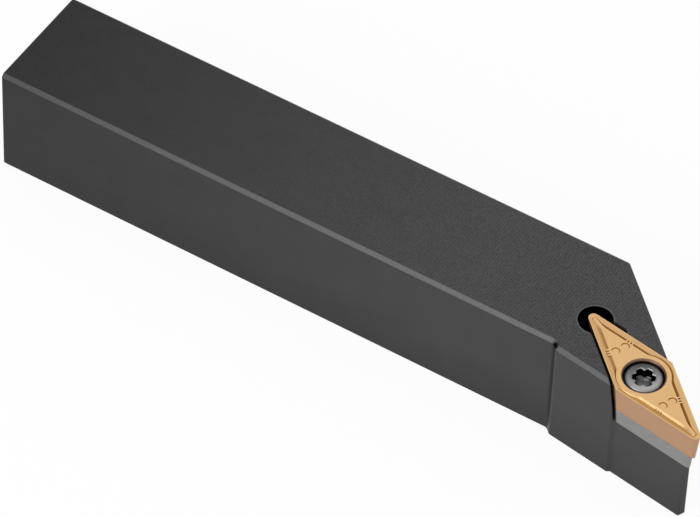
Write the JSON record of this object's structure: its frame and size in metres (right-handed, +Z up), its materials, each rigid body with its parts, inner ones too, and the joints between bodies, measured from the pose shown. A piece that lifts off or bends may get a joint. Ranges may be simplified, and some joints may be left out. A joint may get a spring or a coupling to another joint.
{
  "type": "turning tool holder",
  "caption": "Left-hand external turning tool: square-shank holder with a screw-clamped 35 degree rhombic insert on a shim.",
  "frame": {"origin": "centre of the base of the straight shank, half way between the rear face and the shoulder", "axes": "+X along the shank to the cutting nose, +Z up from the base to the cutting edge, -Y to the side on which the nose stands out"},
  "size_m": [0.125, 0.025, 0.02],
  "materials": {
    "holder_steel": "matt black oxide on milled steel",
    "shim_carbide": "ground bare cemented carbide",
    "sleeve_steel": "dark hardened steel",
    "insert_coating": "satin gold coating on pressed carbide",
    "screw_steel": "satin plated steel"
  },
  "bodies": {
    "tool": {"holder_body": "holder_steel", "shim": "shim_carbide", "shim_screw": "sleeve_steel", "insert": "insert_coating"},
    "clamp_screw": {"insert_screw": "screw_steel"}
  },
  "joints": [
    {"name": "insert_screw_turn", "type": "hinge", "parent": "tool", "child": "clamp_screw", "pos_m": [0.06341, -0.00846, 0.0193], "axis": [0, 0, 1], "range_deg": [0, 2430]}
  ]
}
